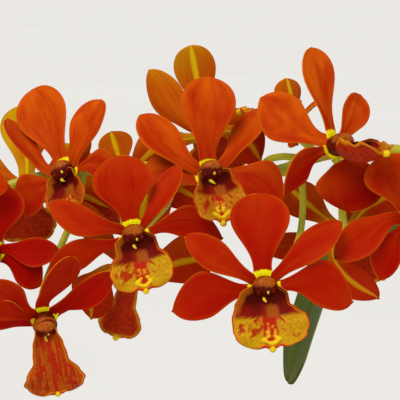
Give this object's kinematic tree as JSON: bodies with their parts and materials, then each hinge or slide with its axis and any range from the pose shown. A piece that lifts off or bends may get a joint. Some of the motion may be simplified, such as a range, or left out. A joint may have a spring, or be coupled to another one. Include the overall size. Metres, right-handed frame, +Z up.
{
  "type": "potted foxtail orchid",
  "caption": "Foxtail orchid in a plain clay pot of bark, with strap leaves, aerial roots and an arching spike of red-orange flowers with yellow fan-shaped lips.",
  "frame": {"origin": "centre of the pot's flat underside", "axes": "+Z up, -Y towards the viewer of the flowers, +X to the viewer's right; the flower spike leans to -X"},
  "size_m": [0.4192, 0.2064, 0.3814],
  "materials": {
    "terracotta": "matte",
    "bark": "matte",
    "stem": "satin",
    "root": "matte",
    "leaf": "satin",
    "spike": "satin",
    "tepal": "satin",
    "lip": "satin",
    "bud": "satin"
  },
  "bodies": {
    "root": {"pot": "terracotta", "bark": "bark", "stem": "stem", "root_1": "root", "root_2": "root", "root_3": "root", "root_4": "root", "leaf_1": "leaf", "leaf_2": "leaf", "leaf_3": "leaf", "leaf_4": "leaf", "leaf_5": "leaf", "leaf_6": "leaf", "leaf_7": "leaf", "leaf_8": "leaf", "leaf_9": "leaf", "flower_spike": "spike", "bloom_01_tepals": "tepal", "bloom_01_lip": "lip", "bloom_02_tepals": "tepal", "bloom_02_lip": "lip", "bloom_03_tepals": "tepal", "bloom_03_lip": "lip", "bloom_04_tepals": "tepal", "bloom_04_lip": "lip", "bloom_05_tepals": "tepal", "bloom_05_lip": "lip", "bloom_06_tepals": "tepal", "bloom_06_lip": "lip", "bloom_07_tepals": "tepal", "bloom_07_lip": "lip", "bloom_08_tepals": "tepal", "bloom_08_lip": "lip", "bloom_09_tepals": "tepal", "bloom_09_lip": "lip", "bloom_10_tepals": "tepal", "bloom_10_lip": "lip", "bloom_11_tepals": "tepal", "bloom_11_lip": "lip", "bloom_12_tepals": "tepal", "bloom_12_lip": "lip", "bloom_13_tepals": "tepal", "bloom_13_lip": "lip", "bloom_14_tepals": "tepal", "bloom_14_lip": "lip", "bloom_15_tepals": "tepal", "bloom_15_lip": "lip", "bloom_16_tepals": "tepal", "bloom_16_lip": "lip", "bloom_17_tepals": "tepal", "bloom_17_lip": "lip", "bloom_18_tepals": "tepal", "bloom_18_lip": "lip", "bud_1": "bud", "bud_2": "bud", "bud_3": "bud"}
  },
  "joints": []
}
